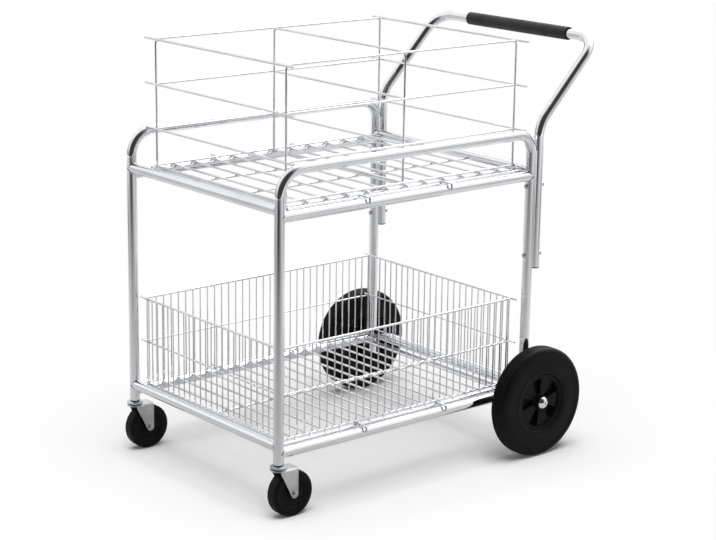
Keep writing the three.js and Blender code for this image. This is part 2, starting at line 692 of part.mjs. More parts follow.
const axleClear = clearBore(AXLE_DIAMETER / 2, ROUND_SIDES, RUN);
const bushOuter = AXLE_DIAMETER / 2 + RUN + REAR_BUSH_WALL;
const rearTyre = {
  outer: REAR_WHEEL_DIAMETER / 2,
  inner: clearBore(REAR_RIM_DIAMETER / 2, WHEEL_SIDES, GAP),
  width: REAR_TYRE_WIDTH,
  bead: REAR_BEAD_WIDTH,
  rise: REAR_BEAD_RISE,
  round: REAR_TYRE_ROUND,
};
for (const [name, side] of SIDES) {
  const place = (mesh, y) => mesh.position.set(legX, side * y, rearAxleZ);
  place(add(`${name}_rear_tyre`, tyre(rearTyre, WHEEL_SIDES), RUBBER), wheelY);
  place(add(`${name}_rear_hub`, geometryOf(rearHub()), BLACK_PLASTIC), wheelY);
  const bush = sleeve(axleClear, bushOuter, -rearBossHalf, rearBossHalf, ROUND_SIDES);
  place(add(`${name}_rear_bush`, bush, BRONZE), wheelY);
  const spacerHalf = AXLE_SPACER_LENGTH / 2;
  const spacer = sleeve(axleClear, AXLE_SPACER_DIAMETER / 2, -spacerHalf, spacerHalf, ROUND_SIDES);
  place(add(`${name}_axle_spacer`, spacer, ZINC), wheelY - rearBossHalf - GAP - spacerHalf);
  const cap = add(`${name}_axle_cap`, axleCap(), CHROME);
  place(cap, capInner);
  cap.rotation.x = side < 0 ? Math.PI : 0;
}

// Casters
function casterSocket() {
  const bore = clearBore(stemR, ROUND_SIDES, RUN);
  const bottom = -GAP - SOCKET_FLANGE;
  const profile = [
    [bore, bottom], [tubeR, bottom], [tubeR, -GAP],
    [insertR, -GAP], [insertR, SOCKET_LENGTH], [bore, SOCKET_LENGTH],
  ];
  return turned(profile, ROUND_SIDES).rotateX(QUARTER);
}

// Stem with the upper race below it, and the rivet head that holds the fork up
function casterStem() {
  const pin = PIN_DIAMETER / 2;
  const cup = CUP_DIAMETER / 2;
  const rivet = RIVET_DIAMETER / 2;
  const rivetTop = crownBottom - GAP;
  const rivetBottom = rivetTop - RIVET_HEIGHT;
  const tip = frontLegEnd + SOCKET_LENGTH - STEM_TIP;
  const profile = [
    [0, rivetBottom], [rivet, rivetBottom], [rivet, rivetTop], [pin, rivetTop], [pin, cupBottom],
    [cup, cupBottom], [cup, cupTop - CUP_CHAMFER], [cup - CUP_CHAMFER, cupTop],
    [stemR, cupTop], [stemR, tip], [0, tip],
  ];
  return turnedSolid(profile, ROUND_SIDES).rotateX(QUARTER);
}

// One leg of the fork seen from the side, with a round ear at the axle
function forkLegShape() {
  const shape = new THREE.Shape();
  const rear = CASTER_TRAIL + FORK_EAR_RADIUS;
  const slantX = CASTER_TRAIL + FORK_LEG_FRONT;
  const slantZ = crownBottom - FORK_SHOULDER - casterAxleZ;
  const slant = Math.hypot(slantX, slantZ);
  const tangent = Math.atan2(slantZ, -slantX) + Math.acos(FORK_EAR_RADIUS / slant);
  shape.moveTo(-FORK_LEG_FRONT, crownTop);
  shape.lineTo(-FORK_LEG_FRONT, crownBottom - FORK_SHOULDER);
  shape.absarc(CASTER_TRAIL, casterAxleZ, FORK_EAR_RADIUS, tangent, 2 * Math.PI, false);
  shape.lineTo(rear, crownTop);
  const hole = polygon(clearBore(CASTER_AXLE_DIAMETER / 2, BORE_SIDES, GAP), BORE_SIDES);
  const axle = new THREE.Vector2(CASTER_TRAIL, casterAxleZ);
  shape.holes.push(new THREE.Path(hole.map((corner) => corner.add(axle))));
  return shape;
}

function casterFork() {
  const options = { depth: FORK_PLATE, bevelEnabled: false, curveSegments: EAR_STEPS };
  const low = new THREE.Vector3(-FORK_LEG_FRONT, -forkOuter, crownBottom);
  const high = new THREE.Vector3(CASTER_TRAIL + FORK_EAR_RADIUS, forkOuter, crownTop);
  const crownMiddle = (crownBottom + crownTop) / 2;
  let body = solid(box(low, high)).add(solid(rodZ(forkOuter, FORK_CROWN, CASTER_SIDES, 0, 0, crownMiddle)));
  for (const y of [-forkInner, forkOuter]) {
    const leg = new THREE.ExtrudeGeometry(forkLegShape(), options);
    body = body.add(solid(leg.rotateX(QUARTER).translate(0, y, 0)));
  }
  const pinHole = clearBore(PIN_DIAMETER / 2, ROUND_SIDES, RUN);
  return body.subtract(solid(rodZ(pinHole, 4 * FORK_CROWN, ROUND_SIDES, 0, 0, crownBottom)));
}

function casterHub() {
  const bore = clearBore(CASTER_AXLE_DIAMETER / 2, ROUND_SIDES, RUN);
  const boss = CASTER_BOSS_DIAMETER / 2;
  const rim = CASTER_RIM_DIAMETER / 2;
  const well = rim - CASTER_RIM_WALL;
  const wide = CASTER_WIDTH / 2;
  const bead = CASTER_BEAD_WIDTH / 2;
  const half = [
    [bore, wide], [boss, wide], [boss, CASTER_WEB / 2],
    [well, CASTER_WEB / 2], [well, bead], [rim, bead],
  ];
  return turned(bothSides(half), HUB_SIDES);
}

// Riveted axle: a round head outside each fork leg
function casterAxle() {
  const shank = CASTER_AXLE_DIAMETER / 2;
  const head = CASTER_RIVET_DIAMETER / 2;
  const under = forkOuter + GAP;
  const top = under + CASTER_RIVET_HEIGHT;
  const half = [
    [0, top], [head - HEAD_CHAMFER, top], [head, top - HEAD_CHAMFER], [head, under], [shank, under],
  ];
  return turnedSolid(bothSides(half), ROUND_SIDES);
}

const casterTyre = {
  outer: CASTER_DIAMETER / 2,
  inner: clearBore(CASTER_RIM_DIAMETER / 2, CASTER_SIDES, GAP),
  width: CASTER_WIDTH,
  bead: CASTER_BEAD_WIDTH,
  rise: CASTER_BEAD_RISE,
  round: CASTER_TYRE_ROUND,
};
for (const [name, side] of SIDES) {
  const y = side * legY;
  add(`${name}_caster_socket`, casterSocket(), GREY_PLASTIC).position.set(-legX, y, frontLegEnd);
  add(`${name}_caster_stem`, casterStem(), ZINC).position.set(-legX, y, 0);
  const raceInner = clearBore(PIN_DIAMETER / 2, ROUND_SIDES, GAP);
  const race = sleeve(raceInner, RACE_DIAMETER / 2, 0, RACE_HEIGHT, ROUND_SIDES).rotateX(QUARTER);
  add(`${name}_caster_race`, race, ZINC).position.set(-legX, y, raceBottom);
  add(`${name}_caster_fork`, geometryOf(casterFork()), ZINC).position.set(-legX, y, 0);
  const place = (mesh) => mesh.position.set(CASTER_TRAIL - legX, y, casterAxleZ);
  place(add(`${name}_caster_tyre`, tyre(casterTyre, CASTER_SIDES), RUBBER));
  place(add(`${name}_caster_hub`, casterHub(), BLACK_PLASTIC));
  place(add(`${name}_caster_axle`, casterAxle(), ZINC));
}

export default cart;
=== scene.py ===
import json
import math

import bmesh
import bpy
from mathutils import Matrix, Vector

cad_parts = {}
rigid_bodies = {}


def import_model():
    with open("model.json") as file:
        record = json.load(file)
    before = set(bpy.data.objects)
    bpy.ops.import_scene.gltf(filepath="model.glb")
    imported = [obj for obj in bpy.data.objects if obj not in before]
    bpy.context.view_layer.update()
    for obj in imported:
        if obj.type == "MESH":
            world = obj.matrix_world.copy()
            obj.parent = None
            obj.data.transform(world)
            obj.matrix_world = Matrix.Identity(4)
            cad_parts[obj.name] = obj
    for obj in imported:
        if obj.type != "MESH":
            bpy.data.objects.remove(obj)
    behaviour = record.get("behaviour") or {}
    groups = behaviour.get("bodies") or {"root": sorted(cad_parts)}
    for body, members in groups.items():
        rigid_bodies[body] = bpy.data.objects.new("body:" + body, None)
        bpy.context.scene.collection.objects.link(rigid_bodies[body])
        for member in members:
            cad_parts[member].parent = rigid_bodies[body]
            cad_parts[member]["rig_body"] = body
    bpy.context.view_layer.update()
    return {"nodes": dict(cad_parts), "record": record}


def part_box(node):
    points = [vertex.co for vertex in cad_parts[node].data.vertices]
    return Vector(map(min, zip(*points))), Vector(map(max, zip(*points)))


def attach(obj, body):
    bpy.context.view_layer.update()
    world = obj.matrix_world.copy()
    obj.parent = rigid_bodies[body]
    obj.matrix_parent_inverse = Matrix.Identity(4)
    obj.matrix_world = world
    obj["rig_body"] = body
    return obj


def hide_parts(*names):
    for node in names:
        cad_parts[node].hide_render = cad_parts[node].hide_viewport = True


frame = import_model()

# Camera of the photograph
CAMERA_AHEAD = 2.3304
CAMERA_ASIDE = -3.2910
CAMERA_HEIGHT = 1.5281
CAMERA_YAW = math.radians(-40.0)
CAMERA_DOWN = math.radians(14.585)
CAMERA_ROLL = math.radians(0.836)
CAMERA_LENS = 98.36
CAMERA_SENSOR = 36.0
CAMERA_END = 100.0

# Fit between pieces, edges and roundness
GAP = 0.0003
MERGE = GAP / 100
EDGE = 0.0005
EDGE_STEPS = 2
EDGE_PROFILE = 0.5
ROUND_STEPS = 3
SHARP = math.radians(32)
PLATE_SHARP = math.radians(48)
TUBE_SIDES = 40
WIRE_SIDES = 12
THIN_WIRE_SIDES = 8
BEND_STEPS = 16
WIRE_BEND_STEPS = 5
TURN_STEPS = 48
WHEEL_STEPS = 100
DOME_STEPS = 8
BEAD_STEPS = 16
BEAD_SIDES = 8

# Bent tubes
FRONT_BEND = 0.058
REAR_BEND = 0.043
KNEE_BEND = 0.070
CORNER_BEND = 0.055
HANDLE_LIFT = 0.1795
BEAD = 0.0014
SOCKET_FLANGE = 0.002
PLUG_FLANGE = 0.0025
PLUG_EDGE = 0.0012
GRIP_EDGE = 0.0015

# Handle bolts
HEAD_EDGE = 0.0024
HEAD_DOME_SHARE = 0.7
NUT_CHAMFER = 0.0009
HEX = 6

# File basket wires
FILE_WIRE = 0.0050
FILE_RIM_WIRE = 0.0060
FILE_STEP = 0.0985
FILE_CORNER = 0.010
FLOOR_WIRE = 0.0050
EDGE_BAR = 0.0080
EDGE_BAR_SET = 0.0211
INNER_BAR_SET = 0.077
FILE_FLOOR_WIRES = 13
HOOK_SETBACK = 0.2255
HOOK_SPACING = 0.229
HOOK_BEND = 0.0045
HOOK_DROP = 0.014

# Lower basket wires
LOWER_WIRE = 0.0030
LOWER_RIM_WIRE = 0.0050
LOWER_MID_WIRE = 0.0040
LOWER_STEP = 0.100
LOWER_SIDE_WIRES = 33
LOWER_END_WIRES = 25
LOWER_FLOOR_WIRES = 17

# Rear wheels
RIM_DEPTH = 0.0160
RIM_WALL = 0.0036
SPOKE_FACE = 0.0115
POCKET_FLOOR = 0.0006
POCKETS = 5
POCKET_ANGLE = math.radians(33)
POCKET_TURN = math.radians(104)
POCKET_IN = 0.0188
POCKET_OUT = 0.0568
POCKET_DRAFT = 0.0006
POCKET_FACING = 0.9
WEB_RINGS = 9
HUB_STEPS = 90
HUB_STEP = 0.0010
BOSS_RADIUS = 0.0172
BEAD_LIP = 0.0025
BEAD_LIP_RISE = 0.0010
WALL_ROUND = 0.0080
WALL_ROUND_SET = 0.0110
WALL_ROUND_START = math.radians(165.6)
WALL_ROUND_STEPS = 5
WALL_RIB = 0.0007
INNER_RIB_SET = 0.0150
OUTER_RIB_SETS = (0.0080, 0.0030)
RIB_SLOPE = 0.0006
RIB_WIDTH = 0.0022
TYRE_ROUND = 0.0125
TYRE_ROUND_STEPS = 10
TREAD_GROOVES = (0.0030, 0.0080)
GROOVE_WIDTH = 0.0021
GROOVE_FLOOR = 0.0014
GROOVE_DEPTH = 0.0018
CAP_LIP = 0.0014
CAP_DIMPLE = 0.0026
CAP_DIMPLE_DEPTH = 0.0030

# Casters
FORK_PLATE = 0.0025
FORK_BEND = 0.0050
FORK_FOOT = 0.0090
FORK_LEG_FRONT = 0.0050
FORK_SHOULDER = 0.0020
FORK_CROWN = 0.0030
CROWN_RISE = 0.0004
CROWN_EDGE = 0.0012
FOOT_STEPS = 12
STEM_PIN = 0.0054
STEM_HEAD = 0.0075
STEM_HEAD_HEIGHT = 0.0030
CUP_HEIGHT = 0.0045
CUP_CHAMFER = 0.0015
CUP_SLOPE = 0.0050
BALLS = 16
BALL_ROUNDS = 2
CAGE_IN = 0.0020
CAGE_OUT = 0.0004
CAGE_HEIGHT_SHARE = 0.2
RIVET_FLAT_SHARE = 0.55
RIVET_ROUND_SHARE = 0.86
RIVET_FALL_SHARE = 0.35
CASTER_ROUND = 0.0060
CASTER_ROUND_STEPS = 6
CASTER_LIP = 0.0010
CASTER_LIP_WIDTH = 0.0020
CASTER_DISH = 0.0050
CASTER_RIM = 0.0040
CASTER_RIM_SET = 0.0015
CASTER_RIM_SLOPE = 0.0020
CASTER_BOSS_SHARE = 0.38
CASTER_BOSS_SLOPE = 0.0010

# Clouds, scratches and tones in the finishes
CLOUD_DETAIL = 4.0
CLOUD_EDGE = (0.35, 0.70)
SCRATCH_DETAIL = 3.0
TONE_DETAIL = 5.0
TONE_EDGE = (0.30, 0.72)

RECORD = frame["record"]
SLOT_OF = {part["node"]: part["material_slot"] for part in RECORD["subparts"]}
SIDES = ("left", "right")


# Helpers that make and shape meshes
def box_of(node):
    low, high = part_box(node)
    return Vector(low), Vector(high)


def middle_of(node):
    low, high = box_of(node)
    return (low + high) / 2


def wheel_size(node):
    """Middle, radius and half width of a piece that is round about a line across the cart."""
    low, high = box_of(node)
    return (low + high) / 2, (high.z - low.z) / 2, (high.y - low.y) / 2


def edges_of(geometry):
    return [item for item in geometry if isinstance(item, bmesh.types.BMEdge)]


def verts_of(geometry):
    return [item for item in geometry if isinstance(item, bmesh.types.BMVert)]


def along(axis):
    """A turn that lays the Z axis along the axis that is given."""
    return Vector(axis).to_track_quat("Z", "Y").to_matrix().to_4x4()


def ring(bm, radius, sides, place):
    """Edges of a new circle, in a set order."""
    verts = bmesh.ops.create_circle(bm, segments=sides, radius=radius, matrix=place)["verts"]
    return list(dict.fromkeys(edge for vert in verts for edge in vert.link_edges))


def push(bm, edges, step):
    made = bmesh.ops.extrude_edge_only(bm, edges=edges)["geom"]
    bmesh.ops.translate(bm, verts=verts_of(made), vec=step)
    return edges_of(made)


def rod(bm, corners, bends, radius, sides, bend_steps):
    """Grows one closed round bar through its corners, with a bend of its own at each."""
    points = [Vector(corner) for corner in corners]
    heading = (points[1] - points[0]).normalized()
    edges = ring(bm, radius, sides, Matrix.Translation(points[0]) @ along(heading))
    bmesh.ops.edgeloop_fill(bm, edges=edges)
    here = points[0]
    for corner, after, bend in zip(points[1:-1], points[2:], bends):
        leaving = (after - corner).normalized()
        turn = heading.angle(leaving)
        reach = bend * math.tan(turn / 2)
        start = corner - heading * reach
        edges = push(bm, edges, start - here)
        axis = heading.cross(leaving).normalized()
        centre = start + axis.cross(heading) * bend
        spun = bmesh.ops.spin(bm, geom=edges, cent=centre, axis=axis, angle=turn, steps=bend_steps)
        edges = edges_of(spun["geom_last"])
        heading = leaving
        here = corner + leaving * reach
    edges = push(bm, edges, points[-1] - here)
    bmesh.ops.edgeloop_fill(bm, edges=edges)


def turned(profile, steps=TURN_STEPS):
    """Turns a closed outline of (radius, height) about the Z axis."""
    bm = bmesh.new()
    verts = [bm.verts.new((radius, 0, height)) for radius, height in profile]
    edges = [bm.edges.new(pair) for pair in zip(verts, verts[1:] + verts[:1])]
    bmesh.ops.spin(bm, geom=verts + edges, axis=(0, 0, 1), angle=math.tau, steps=steps, use_merge=True)
    bmesh.ops.remove_doubles(bm, verts=bm.verts, dist=MERGE)
    bmesh.ops.dissolve_degenerate(bm, edges=bm.edges, dist=MERGE)
    bmesh.ops.recalc_face_normals(bm, faces=bm.faces)
    return bm


def arc(middle, radius, first, last, steps):
    """Points of a round in an outline of (radius, height), by angle from outwards to upwards."""
    turns = [first + (last - first) * step / steps for step in range(steps + 1)]
    return [(middle[0] + radius * math.cos(turn), middle[1] + radius * math.sin(turn)) for turn in turns]


def lay(bm, place, axis=(0, 0, 1)):
    bmesh.ops.transform(bm, matrix=Matrix.Translation(place) @ along(axis), verts=bm.verts)
    return bm


def soften(bm, width, steps=EDGE_STEPS):
    sharp = [edge for edge in bm.edges if edge.is_manifold and edge.calc_face_angle() > SHARP]
    bmesh.ops.bevel(
        bm,
        geom=sharp,
        offset=width,
        offset_type="OFFSET",
        segments=steps,
        profile=EDGE_PROFILE,
        affect="EDGES",
        clamp_overlap=True,
        material=-1,
    )
    return bm


def show(bm, node, name=None):
    """Puts a finished mesh in place of one solid of the frame, on its body and in its finish."""
    bmesh.ops.recalc_face_normals(bm, faces=bm.faces)
    mesh = bpy.data.meshes.new(name or node + "_piece")
    bm.to_mesh(mesh)
    bm.free()
    mesh.shade_smooth()
    mesh.set_sharp_from_angle(angle=SHARP)
    piece = bpy.data.objects.new(mesh.name, mesh)
    bpy.context.scene.collection.objects.link(piece)
    mesh.materials.append(FINISH[SLOT_OF[node]])
    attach(piece, frame["nodes"][node]["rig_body"])
    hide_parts(node)
    return piece


# Shader groups that several finishes share
def new_group(name, inputs, outputs):
    group = bpy.data.node_groups.new(name, "ShaderNodeTree")
    for label, value in inputs.items():
        socket = group.interface.new_socket(name=label, in_out="INPUT", socket_type="NodeSocketFloat")
        socket.default_value = value
    for label in outputs:
        group.interface.new_socket(name=label, in_out="OUTPUT", socket_type="NodeSocketFloat")
    start = group.nodes.new("NodeGroupInput")
    end = group.nodes.new("NodeGroupOutput")
    return group, start, end


def noise(tree, scale, detail, vector):
    node = tree.nodes.new("ShaderNodeTexNoise")
    node.inputs["Detail"].default_value = detail
    tree.links.new(scale, node.inputs["Scale"])
    tree.links.new(vector, node.inputs["Vector"])
    return node.outputs["Fac"]


def ramp(tree, value, low, high):
    """Spreads a value from low..high to 0..1."""
    node = tree.nodes.new("ShaderNodeMapRange")
    node.interpolation_type = "SMOOTHSTEP"
    node.inputs["From Min"].default_value = low
    node.inputs["From Max"].default_value = high
    tree.links.new(value, node.inputs["Value"])
    return node.outputs["Result"]


def between(tree, value, low, high):
    """A number that goes from low to high as the value goes from 0 to 1."""
    node = tree.nodes.new("ShaderNodeMapRange")
    tree.links.new(value, node.inputs["Value"])
    tree.links.new(low, node.inputs["To Min"])
    tree.links.new(high, node.inputs["To Max"])
    return node.outputs["Result"]


def make_handling_group():
    """Uneven gloss left by hands and cloths: a slow cloud with fine scratches in it."""
    group, start, end = new_group(
        "handling", {"Cloud": 12.0, "Fine": 400.0, "Smooth": 0.05, "Worn": 0.12}, ("Roughness", "Mask")
    )
    place = group.nodes.new("ShaderNodeTexCoord").outputs["Object"]
    cloud = ramp(group, noise(group, start.outputs["Cloud"], CLOUD_DETAIL, place), *CLOUD_EDGE)
    fine = noise(group, start.outputs["Fine"], SCRATCH_DETAIL, place)
    joined = group.nodes.new("ShaderNodeMath")
    joined.operation = "MULTIPLY"
    group.links.new(cloud, joined.inputs[0])
    group.links.new(fine, joined.inputs[1])
    rough = between(group, joined.outputs["Value"], start.outputs["Smooth"], start.outputs["Worn"])
    group.links.new(rough, end.inputs["Roughness"])
    group.links.new(cloud, end.inputs["Mask"])
    return group


def make_grain_group():
    """Fine grain of a moulded surface, with a slow change of tone."""
    group, start, end = new_group("grain", {"Grain": 1500.0, "Tone": 18.0}, ("Height", "Mask"))
    place = group.nodes.new("ShaderNodeTexCoord").outputs["Object"]
    cells = group.nodes.new("ShaderNodeTexVoronoi")
    group.links.new(start.outputs["Grain"], cells.inputs["Scale"])
    group.links.new(place, cells.inputs["Vector"])
    tone = ramp(group, noise(group, start.outputs["Tone"], TONE_DETAIL, place), *TONE_EDGE)
    group.links.new(cells.outputs["Distance"], end.inputs["Height"])
    group.links.new(tone, end.inputs["Mask"])
    return group


HANDLING = make_handling_group()
GRAIN = make_grain_group()


def new_finish(name):
    finish = bpy.data.materials.new(name)
    finish.use_nodes = True
    return finish, finish.node_tree, finish.node_tree.nodes["Principled BSDF"]


def place_group(tree, group, values):
    node = tree.nodes.new("ShaderNodeGroup")
    node.node_tree = group
    for label, value in values.items():
        node.inputs[label].default_value = value
    return node


def blend_colours(tree, mask, first, second, socket):
    mix = tree.nodes.new("ShaderNodeMix")
    mix.data_type = "RGBA"
    mix.inputs["A"].default_value = (*first, 1)
    mix.inputs["B"].default_value = (*second, 1)
    tree.links.new(mask, mix.inputs["Factor"])
    tree.links.new(mix.outputs["Result"], socket)


def raise_surface(tree, height, relief, shader):
    bump = tree.nodes.new("ShaderNodeBump")
    for label in ("Strength", "Distance"):
        bump.inputs[label].default_value = relief[label]
    tree.links.new(height, bump.inputs["Height"])
    tree.links.new(bump.outputs["Normal"], shader.inputs["Normal"])


def metal(name, clean, worn, handling, ripple):
    """A plated metal: two close tones, uneven gloss and a slight ripple under the plating."""
    finish, tree, shader = new_finish(name)
    shader.inputs["Metallic"].default_value = 1.0
    gloss = place_group(tree, HANDLING, handling)
    tree.links.new(gloss.outputs["Roughness"], shader.inputs["Roughness"])
    blend_colours(tree, gloss.outputs["Mask"], clean, worn, shader.inputs["Base Color"])
    place = tree.nodes.new("ShaderNodeTexCoord").outputs["Object"]
    waves = tree.nodes.new("ShaderNodeTexNoise")
    waves.inputs["Scale"].default_value = ripple["Scale"]
    tree.links.new(place, waves.inputs["Vector"])
    raise_surface(tree, waves.outputs["Fac"], ripple, shader)
    return finish


def moulded(name, dark, pale, shine, handling, grain, relief):
    """A moulded black or grey piece: fine grain, two tones and uneven gloss."""
    finish, tree, shader = new_finish(name)
    shader.inputs["Specular IOR Level"].default_value = shine
    gloss = place_group(tree, HANDLING, handling)
    skin = place_group(tree, GRAIN, grain)
    tree.links.new(gloss.outputs["Roughness"], shader.inputs["Roughness"])
    blend_colours(tree, skin.outputs["Mask"], dark, pale, shader.inputs["Base Color"])
    raise_surface(tree, skin.outputs["Height"], relief, shader)
    return finish


FINISH = {
    "chrome": metal(
        "bright_chrome",
        clean=(0.86, 0.87, 0.89),
        worn=(0.80, 0.81, 0.83),
        handling={"Cloud": 9.0, "Fine": 600.0, "Smooth": 0.04, "Worn": 0.13},
        ripple={"Scale": 35.0, "Strength": 0.05, "Distance": 0.0010},
    ),
    "wire": metal(
        "plated_wire",
        clean=(0.84, 0.85, 0.87),
        worn=(0.74, 0.75, 0.77),
        handling={"Cloud": 14.0, "Fine": 900.0, "Smooth": 0.10, "Worn": 0.24},
        ripple={"Scale": 260.0, "Strength": 0.10, "Distance": 0.0003},
    ),
    "zinc": metal(
        "zinc_plate",
        clean=(0.66, 0.67, 0.69),
        worn=(0.50, 0.51, 0.52),
        handling={"Cloud": 30.0, "Fine": 900.0, "Smooth": 0.34, "Worn": 0.58},
        ripple={"Scale": 220.0, "Strength": 0.12, "Distance": 0.0003},
    ),
    "bronze": metal(
        "sintered_bronze",
        clean=(0.46, 0.31, 0.17),
        worn=(0.33, 0.22, 0.12),
        handling={"Cloud": 40.0, "Fine": 1200.0, "Smooth": 0.30, "Worn": 0.50},
        ripple={"Scale": 900.0, "Strength": 0.20, "Distance": 0.0002},
    ),
    "rubber": moulded(
        "tyre_rubber",
        dark=(0.0030, 0.0030, 0.0032),
        pale=(0.0068, 0.0068, 0.0071),
        shine=0.12,
        handling={"Cloud": 16.0, "Fine": 700.0, "Smooth": 0.42, "Worn": 0.62},
        grain={"Grain": 900.0, "Tone": 14.0},
        relief={"Strength": 0.25, "Distance": 0.0003},
    ),
    "black_plastic": moulded(
        "black_nylon",
        dark=(0.0028, 0.0028, 0.0030),
        pale=(0.0058, 0.0058, 0.0061),
        shine=0.12,
        handling={"Cloud": 20.0, "Fine": 900.0, "Smooth": 0.34, "Worn": 0.50},
        grain={"Grain": 1600.0, "Tone": 22.0},
        relief={"Strength": 0.18, "Distance": 0.0002},
    ),
    "foam": moulded(
        "grip_foam",
        dark=(0.010, 0.010, 0.011),
        pale=(0.018, 0.018, 0.019),
        shine=0.45,
        handling={"Cloud": 16.0, "Fine": 500.0, "Smooth": 0.50, "Worn": 0.72},
        grain={"Grain": 1100.0, "Tone": 26.0},
        relief={"Strength": 0.45, "Distance": 0.0004},
    ),
    "grey_plastic": moulded(
        "grey_plastic",
        dark=(0.055, 0.056, 0.058),
        pale=(0.085, 0.086, 0.088),
        shine=0.3,
        handling={"Cloud": 20.0, "Fine": 900.0, "Smooth": 0.38, "Worn": 0.55},
        grain={"Grain": 1600.0, "Tone": 30.0},
        relief={"Strength": 0.18, "Distance": 0.0002},
    ),
}

# Places that the frame's pieces share
frame_low, frame_high = box_of("left_side_frame")
TUBE_RADIUS = (frame_high.y - frame_low.y) / 2
LEG_FRONT = frame_low.x + TUBE_RADIUS
LEG_REAR = frame_high.x - TUBE_RADIUS
LEG_OUT = abs(middle_of("left_side_frame").y)
TOP_RAIL = frame_high.z - TUBE_RADIUS
REAR_LEG_END = frame_low.z
FRONT_LEG_END = box_of("left_caster_socket")[0].z + SOCKET_FLANGE + GAP
UPPER_RAIL = middle_of("upper_left_rail").z
LOWER_RAIL = middle_of("lower_left_rail").z
GRIP_AXIS = middle_of("handle_grip")
HANDLE_FRONT = box_of("handle_tube")[0].x + TUBE_RADIUS


def tube(corners, bends=()):
    bm = bmesh.new()
    rod(bm, corners, bends, TUBE_RADIUS, TUBE_SIDES, BEND_STEPS)
    return bm


def weld_bead(bm, place, heading):
    """A weld round the end of a rail where it runs into a leg of the same size."""
    bead = bmesh.new()
    edges = ring(bead, BEAD, BEAD_SIDES, Matrix.Translation((0, TUBE_RADIUS, 0)))
    bmesh.ops.spin(bead, geom=edges, axis=(1, 0, 0), angle=math.pi, steps=BEAD_STEPS)
    # Leant by 45 degrees, half a ring follows the seam of two tubes of one size
    saddle = Matrix.Identity(4)
    saddle[0][2] = 1.0
    bmesh.ops.transform(bead, matrix=saddle, verts=bead.verts)
    bmesh.ops.mirror(bead, geom=bead.verts[:] + bead.edges[:] + bead.faces[:], merge_dist=GAP, axis="Z")
    turn = Matrix.Rotation(math.atan2(heading.y, heading.x), 4, "Z")
    bmesh.ops.transform(bead, matrix=Matrix.Translation(place) @ turn, verts=bead.verts)
    bmesh.ops.recalc_face_normals(bead, faces=bead.faces)
    made = bpy.data.meshes.new("bead")
    bead.to_mesh(made)
    bead.free()
    bm.from_mesh(made)
    bpy.data.meshes.remove(made)


def show_rail(node, first, last):
    bm = tube((first, last))
    heading = (last - first).normalized()
    weld_bead(bm, first, heading)
    weld_bead(bm, last, -heading)
    show(bm, node)


# Side frames, rails and handle
for side, out in zip(SIDES, (-LEG_OUT, LEG_OUT)):
    corners = (
        (LEG_FRONT, out, FRONT_LEG_END),
        (LEG_FRONT, out, TOP_RAIL),
        (LEG_REAR, out, TOP_RAIL),
        (LEG_REAR, out, REAR_LEG_END),
    )
    show(tube(corners, (FRONT_BEND, REAR_BEND)), f"{side}_side_frame")
    for level, height in (("upper", UPPER_RAIL), ("lower", LOWER_RAIL)):
        show_rail(f"{level}_{side}_rail", Vector((LEG_FRONT, out, height)), Vector((LEG_REAR, out, height)))

for level in ("upper", "lower"):
    for end, reach in (("front", LEG_FRONT), ("rear", LEG_REAR)):
        height = middle_of(f"{level}_{end}_rail").z
        show_rail(f"{level}_{end}_rail", Vector((reach, -LEG_OUT, height)), Vector((reach, LEG_OUT, height)))

handle_end = box_of("handle_tube")[0].z
knee = GRIP_AXIS.z - HANDLE_LIFT
handle_corners = (
    (HANDLE_FRONT, -LEG_OUT, handle_end),
    (HANDLE_FRONT, -LEG_OUT, knee),
    (GRIP_AXIS.x, -LEG_OUT, GRIP_AXIS.z),
    (GRIP_AXIS.x, LEG_OUT, GRIP_AXIS.z),
    (HANDLE_FRONT, LEG_OUT, knee),
    (HANDLE_FRONT, LEG_OUT, handle_end),
)
show(tube(handle_corners, (KNEE_BEND, CORNER_BEND, CORNER_BEND, KNEE_BEND)), "handle_tube")

grip_low, grip_high = box_of("handle_grip")
grip_radius = (grip_high.z - grip_low.z) / 2
grip_half = (grip_high.y - grip_low.y) / 2
grip_outline = (
    (TUBE_RADIUS, -grip_half),
    (grip_radius, -grip_half),
    (grip_radius, grip_half),
    (TUBE_RADIUS, grip_half),
)
show(soften(lay(turned(grip_outline), GRIP_AXIS, (0, 1, 0)), GRIP_EDGE, DOME_STEPS), "handle_grip")


def show_end_disc(node, thickness, edge, steps):
    """The round end of a plug or socket, which closes the end of its tube."""
    low, high = box_of(node)
    centre = (low + high) / 2
    top = low.z + thickness
    outline = [(0, low.z), (TUBE_RADIUS, low.z), (TUBE_RADIUS, top), (0, top)]
    show(soften(lay(turned(outline), (centre.x, centre.y, 0)), edge, steps), node)


def show_bolt(node):
    low, high = box_of(node)
    centre = (low + high) / 2
    head = (high.z - low.z) / 2
    shank = head / 2
    seat = LEG_REAR - TUBE_RADIUS
    dome = seat - low.x
    outline = [(0, low.x), (head - HEAD_EDGE, low.x), (head, low.x + dome * HEAD_DOME_SHARE)]
    outline += [(head, seat), (shank, seat), (shank, high.x), (0, high.x)]
    show(soften(lay(turned(outline), (0, centre.y, centre.z), (1, 0, 0)), EDGE, ROUND_STEPS), node)


def show_nut(node):
    low, high = box_of(node)
    centre = (low + high) / 2
    bm = bmesh.new()
    place = Matrix.Translation((low.x, centre.y, centre.z)) @ along((1, 0, 0))
    bmesh.ops.create_circle(bm, segments=HEX, radius=(high.z - low.z) / 2, cap_ends=True, matrix=place)
    made = bmesh.ops.extrude_face_region(bm, geom=bm.faces[:])["geom"]
    bmesh.ops.translate(bm, verts=verts_of(made), vec=(high.x - low.x, 0, 0))
    show(soften(bm, NUT_CHAMFER), node)


